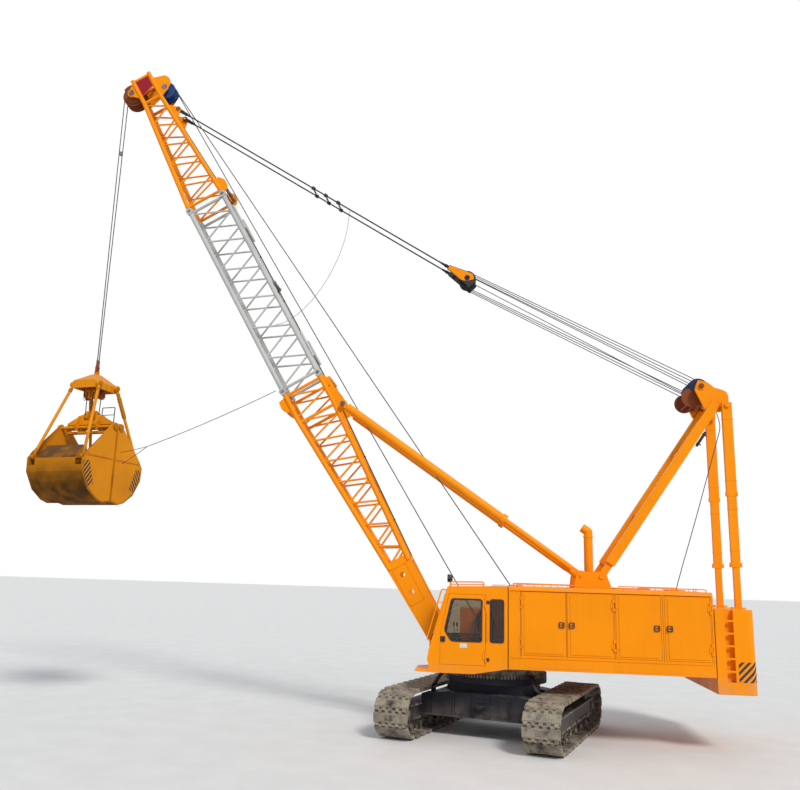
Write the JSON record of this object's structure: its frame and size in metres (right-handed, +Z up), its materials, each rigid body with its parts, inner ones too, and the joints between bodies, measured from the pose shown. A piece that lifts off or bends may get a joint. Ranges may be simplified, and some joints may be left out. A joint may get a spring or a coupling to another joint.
{
  "type": "crawler crane",
  "caption": "Crawler crane with a lattice boom in three sections, an A-frame, a machine house and a two-jaw clamshell grab on its ropes.",
  "frame": {"origin": "on the ground under the slewing axis", "axes": "+X forward along the boom, +Y to the cab side, +Z up; the tracks stand turned by 72.8 degrees from +X, as parked"},
  "size_m": [17.4068, 5.8958, 17.5244],
  "materials": {
    "orange_paint": "semi-gloss enamel, dusty",
    "grab_paint": "worn enamel with rust and soil",
    "grey_paint": "flat grey with dirt",
    "dark_steel": "flat dark paint, dusty",
    "track_steel": "cast manganese steel, dusty",
    "wire_rope": "greased wire rope",
    "red_sheave": "worn red-brown paint",
    "blue_sheave": "blue paint",
    "glass": "clear window glass",
    "seat_black": "black vinyl and enamel"
  },
  "bodies": {
    "undercarriage": {"carbody": "dark_steel", "slew_ring": "dark_steel", "side_frame_left": "dark_steel", "side_frame_right": "dark_steel", "track_wheels_left": "track_steel", "track_wheels_right": "track_steel", "track_left": "track_steel", "track_right": "track_steel"},
    "superstructure": {"platform": "orange_paint", "boom_foot_lugs": "orange_paint", "cab_carrier": "orange_paint", "house_left_wall": "orange_paint", "house_right_wall": "orange_paint", "house_end_walls": "orange_paint", "house_roof": "orange_paint", "engine_block": "dark_steel", "hoist_winches": "dark_steel", "far_side_tank": "orange_paint", "counterweight": "orange_paint", "cab_shell": "orange_paint", "cab_panes": "glass", "cab_seat": "seat_black", "roof_brackets": "orange_paint", "exhaust_stack": "orange_paint", "aframe_front_legs": "orange_paint", "aframe_rear_legs": "orange_paint", "head_guard": "red_sheave"},
    "cab_door": {"cab_door": "orange_paint", "cab_door_pane": "glass"},
    "aframe_sheaves": {"aframe_sheaves": "blue_sheave"},
    "boom": {"boom_lower": "orange_paint", "boom_brackets": "orange_paint", "boom_insert": "grey_paint", "boom_top": "orange_paint", "nose_guard": "red_sheave"},
    "nose_sheaves": {"nose_sheaves": "red_sheave"},
    "guide_sheave": {"guide_sheave": "blue_sheave"},
    "backstop_tubes": {"backstop_tubes": "orange_paint"},
    "backstop_rods": {"backstop_rods": "orange_paint"},
    "pendants": {"pendants": "wire_rope"},
    "bridle_sheaves": {"bridle_sheaves": "dark_steel"},
    "grab_head": {"hoist_ropes": "wire_rope", "grab_head": "grab_paint"},
    "grab_crosshead": {"grab_crosshead": "grab_paint"},
    "grab_jaw_a": {"grab_jaw_a": "grab_paint"},
    "grab_jaw_b": {"grab_jaw_b": "grab_paint"},
    "grab_arms_a": {"grab_arms_a": "grab_paint"},
    "grab_arms_b": {"grab_arms_b": "grab_paint"},
    "left_door_1": {"left_door_1": "orange_paint"},
    "left_door_2": {"left_door_2": "orange_paint"},
    "left_door_3": {"left_door_3": "orange_paint"},
    "left_door_4": {"left_door_4": "orange_paint"},
    "right_door_1": {"right_door_1": "orange_paint"},
    "right_door_2": {"right_door_2": "orange_paint"},
    "right_door_3": {"right_door_3": "orange_paint"},
    "right_door_4": {"right_door_4": "orange_paint"}
  },
  "joints": [
    {"name": "slew", "type": "hinge", "parent": "undercarriage", "child": "superstructure", "pos_m": [0, 0, 1.5], "axis": [0, 0, 1], "continuous": true},
    {"name": "luff", "type": "hinge", "parent": "superstructure", "child": "boom", "pos_m": [1.318, 0, 1.894], "axis": [0, -1, 0], "range_deg": [-25, 18]},
    {"name": "cab_door_hinge", "type": "hinge", "parent": "superstructure", "child": "cab_door", "pos_m": [0.25, 1.568, 2.3], "axis": [0, 0, 1], "range_deg": [0, 90]},
    {"name": "aframe_sheaves_spin", "type": "hinge", "parent": "superstructure", "child": "aframe_sheaves", "pos_m": [-4.88, 0, 8.15], "axis": [0, 1, 0], "continuous": true},
    {"name": "nose_sheaves_spin", "type": "hinge", "parent": "boom", "child": "nose_sheaves", "pos_m": [10.49517, 0, 16.84809], "axis": [0, 1, 0], "continuous": true},
    {"name": "guide_sheave_spin", "type": "hinge", "parent": "boom", "child": "guide_sheave", "pos_m": [9.5237, 0, 17.00668], "axis": [0, 1, 0], "continuous": true},
    {"name": "backstop_pivot", "type": "hinge", "parent": "boom", "child": "backstop_tubes", "pos_m": [3.85185, 0, 7.6609], "axis": [0, -1, 0], "range_deg": [-4.6, 6.4]},
    {"name": "backstop_slide", "type": "slide", "parent": "backstop_tubes", "child": "backstop_rods", "axis": [-0.8206, 0, -0.5715], "range_m": [-1.02, 1.41]},
    {"name": "pendant_pivot", "type": "hinge", "parent": "boom", "child": "pendants", "pos_m": [9.05415, 0, 16.29638], "axis": [0, -1, 0], "range_deg": [-2.6, 3.6]},
    {"name": "bridle_sheaves_spin", "type": "hinge", "parent": "pendants", "child": "bridle_sheaves", "pos_m": [0.77929, 0, 11.11399], "axis": [0, 1, 0], "continuous": true},
    {"name": "grab_hang", "type": "hinge", "parent": "boom", "child": "grab_head", "pos_m": [10.49517, 0, 16.84809], "axis": [0, -1, 0], "range_deg": [-18.1, 25.1]},
    {"name": "grab_close", "type": "slide", "parent": "grab_head", "child": "grab_crosshead", "axis": [0, 0, -1], "range_m": [0, 0.85]},
    {"name": "jaw_a_hinge", "type": "hinge", "parent": "grab_crosshead", "child": "grab_jaw_a", "pos_m": [10.76512, 0.10709, 7.08], "axis": [0.9736, -0.2284, 0], "range_deg": [0, 51.2]},
    {"name": "jaw_b_hinge", "type": "hinge", "parent": "grab_crosshead", "child": "grab_jaw_b", "pos_m": [10.71488, -0.10709, 7.08], "axis": [-0.9736, 0.2284, 0], "range_deg": [0, 51.2]},
    {"name": "arms_a_hinge", "type": "hinge", "parent": "grab_head", "child": "grab_arms_a", "pos_m": [10.81992, 0.34075, 8.2], "axis": [0.9736, -0.2284, 0], "range_deg": [0, 12.2]},
    {"name": "arms_b_hinge", "type": "hinge", "parent": "grab_head", "child": "grab_arms_b", "pos_m": [10.66008, -0.34075, 8.2], "axis": [-0.9736, 0.2284, 0], "range_deg": [0, 12.2]},
    {"name": "left_door_1_hinge", "type": "hinge", "parent": "superstructure", "child": "left_door_1", "pos_m": [-0.54, 1.568, 2.5], "axis": [0, 0, -1], "range_deg": [0, 88]},
    {"name": "left_door_2_hinge", "type": "hinge", "parent": "superstructure", "child": "left_door_2", "pos_m": [-2.52, 1.568, 2.5], "axis": [0, 0, 1], "range_deg": [0, 88]},
    {"name": "left_door_3_hinge", "type": "hinge", "parent": "superstructure", "child": "left_door_3", "pos_m": [-2.58, 1.568, 2.5], "axis": [0, 0, -1], "range_deg": [0, 88]},
    {"name": "left_door_4_hinge", "type": "hinge", "parent": "superstructure", "child": "left_door_4", "pos_m": [-4.57, 1.568, 2.5], "axis": [0, 0, 1], "range_deg": [0, 88]},
    {"name": "right_door_1_hinge", "type": "hinge", "parent": "superstructure", "child": "right_door_1", "pos_m": [-0.54, -1.568, 2.5], "axis": [0, 0, 1], "range_deg": [0, 88]},
    {"name": "right_door_2_hinge", "type": "hinge", "parent": "superstructure", "child": "right_door_2", "pos_m": [-2.52, -1.568, 2.5], "axis": [0, 0, -1], "range_deg": [0, 88]},
    {"name": "right_door_3_hinge", "type": "hinge", "parent": "superstructure", "child": "right_door_3", "pos_m": [-2.58, -1.568, 2.5], "axis": [0, 0, 1], "range_deg": [0, 88]},
    {"name": "right_door_4_hinge", "type": "hinge", "parent": "superstructure", "child": "right_door_4", "pos_m": [-4.57, -1.568, 2.5], "axis": [0, 0, -1], "range_deg": [0, 88]}
  ],
  "couplings": [
    {"joint": "backstop_pivot", "follows": "luff", "ratio": -0.25},
    {"joint": "backstop_slide", "follows": "luff", "m_per_rad": -3.2},
    {"joint": "pendant_pivot", "follows": "luff", "ratio": -0.14},
    {"joint": "grab_hang", "follows": "luff", "ratio": -1},
    {"joint": "jaw_a_hinge", "follows": "grab_close", "rad_per_m": 1.05},
    {"joint": "jaw_b_hinge", "follows": "grab_close", "rad_per_m": 1.05},
    {"joint": "arms_a_hinge", "follows": "grab_close", "rad_per_m": 0.25},
    {"joint": "arms_b_hinge", "follows": "grab_close", "rad_per_m": 0.25}
  ]
}
